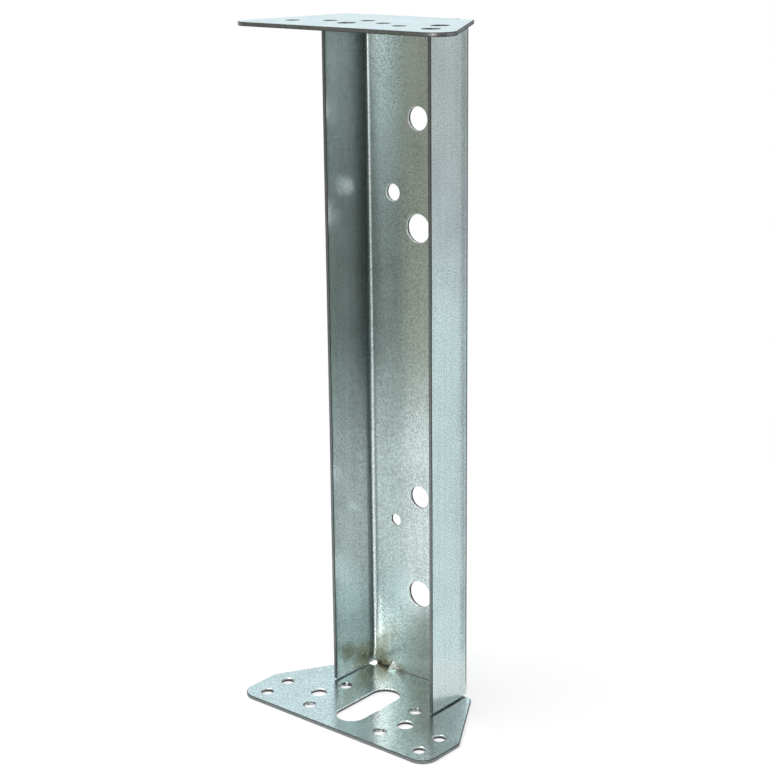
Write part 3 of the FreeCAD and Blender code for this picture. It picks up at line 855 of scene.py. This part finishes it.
# %% World
SKY_COLOUR, SKY_STRENGTH = (0.95, 0.98, 1.0, 1), 0.75

world = bpy.data.worlds.new("studio")
world.use_nodes = True
bpy.context.scene.world = world
tree = world.node_tree
soft = tree.nodes["Background"]
soft.inputs["Color"].default_value = SKY_COLOUR
soft.inputs["Strength"].default_value = SKY_STRENGTH
bright = tree.nodes.new("ShaderNodeBackground")
bright.inputs["Color"].default_value = (1, 1, 1, 1)
blend = tree.nodes.new("ShaderNodeMixShader")
tree.links.new(sees_background(tree), blend.inputs[0])
tree.links.new(soft.outputs[0], blend.inputs[1])
tree.links.new(bright.outputs[0], blend.inputs[2])
tree.links.new(blend.outputs[0], tree.nodes["World Output"].inputs["Surface"])
print("world", world.name)

# %% [markdown]
# ## Cards and lamps
#
# Bright metal in an all white room looks like white paper. Photographers put cards round it,
# outside the picture, so that the metal has something to mirror. Here strips lie on the floor
# round the bracket and others stand further out. Most are grey or grey brown, some are nearly
# black, and a few are lit, for the bright bands. Only mirrored rays meet them. A large soft lamp
# hangs overhead, and a smaller warm one stands behind the camera, which the inside of the channel
# mirrors near the foot.

# %% Cards for the metal to mirror
# Each card has a name, two azimuths, two pairs of radius and height, and a colour.
CARDS = [("floor_card_front_left", (-78, -12), (0.39, 0.001), (0.9, 0.001), (0.44, 0.43, 0.35)),
         ("far_card_front_left", (-78, -12), (0.9, 0.001), (5.0, 0.001), (0.35, 0.34, 0.27)),
         ("far_card_front", (-12, 16), (0.6, 0.001), (5.0, 0.001), (0.62, 0.63, 0.61)),
         ("tall_card_front", (-12, 16), (1.4, 0.03), (1.4, 1.2), (0.58, 0.60, 0.57)),
         ("near_card_front", (12, 39), (0.062, 0.001), (0.37, 0.001), (1.5, 1.35, 1.3)),
         ("near_card_right", (41, 70), (0.062, 0.001), (0.30, 0.001), (1.0, 0.86, 0.84)),
         ("floor_card_camera_side", (20, 44), (0.37, 0.002), (1.2, 0.002), (0.40, 0.36, 0.33)),
         ("far_card_camera_side", (20, 38), (1.2, 0.002), (5.0, 0.002), (0.72, 0.70, 0.67)),
         ("floor_card_right", (44, 97), (0.30, 0.001), (1.2, 0.001), (0.09, 0.08, 0.08)),
         ("far_card_right", (38, 97), (1.2, 0.001), (5.0, 0.001), (0.08, 0.08, 0.08)),
         ("near_card_back_right", (98, 148), (0.07, 0.001), (0.86, 0.001), (0.89, 0.97, 0.99)),
         ("floor_card_back_right", (98, 151), (0.86, 0.001), (5.0, 0.001), (0.645, 0.64, 0.66)),
         ("close_card_behind", (148, 205), (0.036, 0.001), (0.15, 0.001), (0.22, 0.23, 0.23)),
         ("near_card_behind", (150, 205), (0.15, 0.001), (0.30, 0.001), (0.22, 0.23, 0.23)),
         ("floor_card_behind", (151, 222), (0.30, 0.001), (5.0, 0.001), (0.22, 0.23, 0.23)),
         ("low_card_front_left", (-78, -12), (1.4, 0.03), (1.4, 0.20), (0.35, 0.33, 0.28)),
         ("tall_card_front_left", (-78, -12), (1.4, 0.20), (1.4, 1.5), (0.50, 0.46, 0.39)),
         ("low_card_camera_side", (16, 37.5), (1.6, 0.03), (1.6, 0.30), (1.45, 1.45, 1.42)),
         ("low_card_right", (37.5, 97), (1.4, 0.03), (1.4, 0.36), (0.09, 0.09, 0.09)),
         ("tall_card_right", (40, 97), (1.4, 0.36), (1.4, 0.9), (1.15, 1.0, 0.96)),
         ("tall_card_back_right", (98, 151), (1.4, 0.03), (1.4, 1.5), (0.67, 0.655, 0.645)),
         ("low_card_behind", (151, 192), (1.4, 0.03), (1.4, 0.35), (0.25, 0.26, 0.26)),
         ("tall_card_behind", (203, 252), (1.4, 0.03), (1.4, 1.5), (0.90, 1.0, 1.04))]
CARD_STEPS = 24


def card(name, sweep, start, end, colour):
    """A curved strip between two (radius, height) pairs, over a range of azimuths."""
    points, faces = [], []
    for i in range(CARD_STEPS + 1):
        angle = math.radians(sweep[0] + (sweep[1] - sweep[0]) * i / CARD_STEPS)
        for radius, height in (start, end):
            points.append((radius * math.sin(angle), -radius * math.cos(angle), height))
    for i in range(CARD_STEPS):
        faces.append((2 * i, 2 * i + 1, 2 * i + 3, 2 * i + 2))
    made = bpy.data.meshes.new(name)
    made.from_pydata(points, [], faces)
    paint = bpy.data.materials.new(name)
    paint.use_nodes = True
    tree = paint.node_tree
    glow = tree.nodes.new("ShaderNodeEmission")
    glow.inputs["Color"].default_value = (*colour, 1)
    tree.links.new(glow.outputs[0], tree.nodes["Material Output"].inputs["Surface"])
    made.materials.append(paint)
    stand = bpy.data.objects.new(name, made)
    stand.visible_camera = stand.visible_diffuse = stand.visible_shadow = False
    stand.visible_transmission = False
    bpy.context.scene.collection.objects.link(stand)
    return stand


for row in CARDS:
    print("card", card(*row).name)

# %% Lamps
# Each lamp has a name, a place, a width and height, its watts and a colour.
LAMPS = [("overhead", (-0.35, -0.25, 1.2), (0.9, 0.9), 13.0, (1, 1, 1)),
         ("behind_camera", (0.352, -0.828, 0.44), (0.17, 0.40), 2.35, (1.0, 0.70, 0.67))]
LAMP_AIM = Vector((0, 0, 0.05))

for name, place, (width, height), watts, colour in LAMPS:
    lamp_data = bpy.data.lights.new(name, "AREA")
    lamp_data.shape = "ELLIPSE"
    lamp_data.size, lamp_data.size_y = width, height
    lamp_data.energy = watts
    lamp_data.color = colour
    lamp = bpy.data.objects.new(name, lamp_data)
    lamp.location = place
    lamp.rotation_euler = (LAMP_AIM - lamp.location).to_track_quat("-Z", "Y").to_euler()
    lamp.visible_camera = False
    bpy.context.scene.collection.objects.link(lamp)
    print("lamp", name, watts, "W")
bpy.context.scene.view_settings.view_transform = "Standard"
